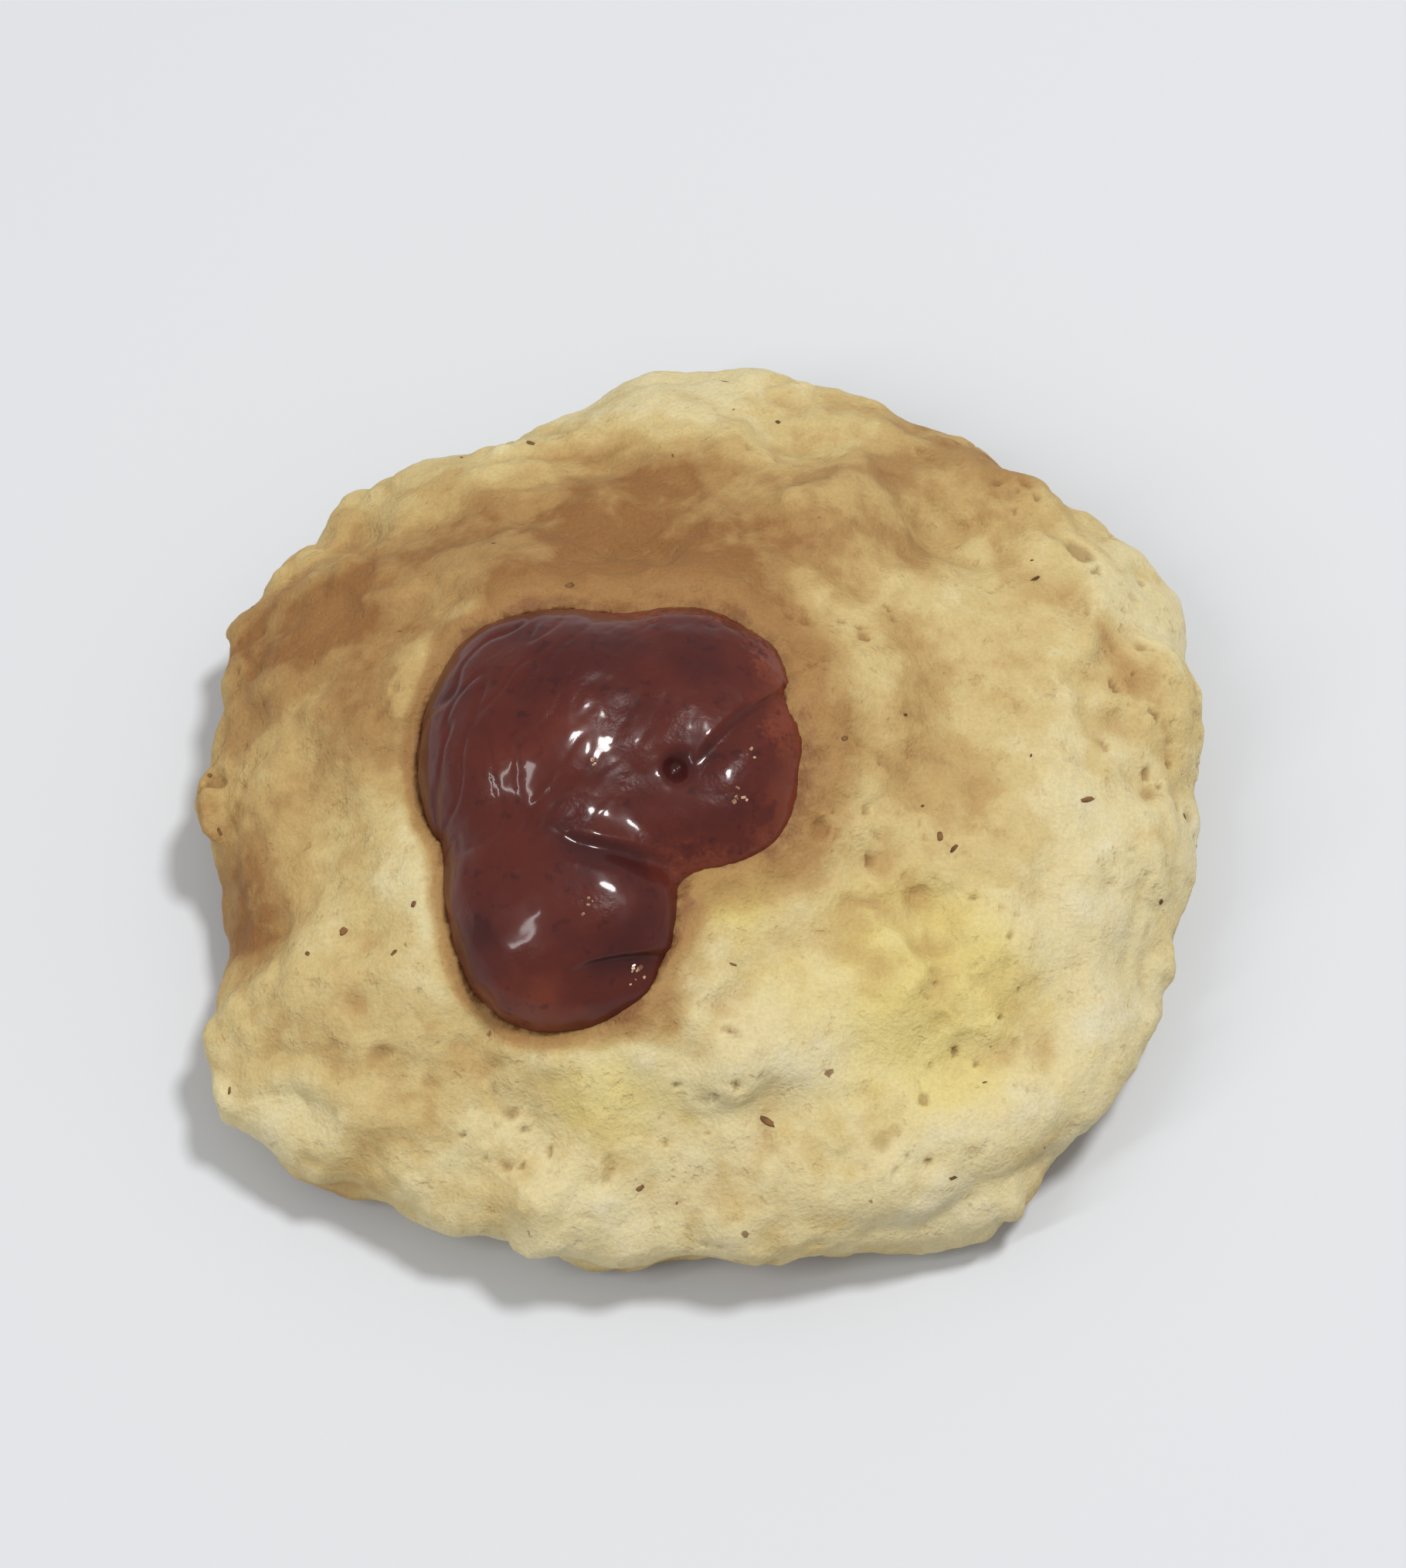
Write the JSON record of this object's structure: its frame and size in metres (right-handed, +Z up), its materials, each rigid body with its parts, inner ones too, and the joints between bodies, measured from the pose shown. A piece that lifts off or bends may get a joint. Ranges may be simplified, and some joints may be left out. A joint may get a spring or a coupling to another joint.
{
  "type": "cherry almond cookie",
  "caption": "Round domed drop cookie of pale almond dough, soft and lumpy, with a glossy glace cherry set in its crown.",
  "frame": {"origin": "on the flat underside that the cookie rests on, under the middle of its outline in width and depth", "axes": "+Z up through the crown, +X to the right and +Y away from the viewer, with the cherry's small lobe towards the viewer"},
  "size_m": [0.0642, 0.0636, 0.021],
  "materials": {
    "baked_dough": "matte baked skin, pale cream to golden brown",
    "glace_cherry": "glossy candied skin"
  },
  "bodies": {
    "root": {"dough": "baked_dough", "cherry": "glace_cherry"}
  },
  "joints": []
}
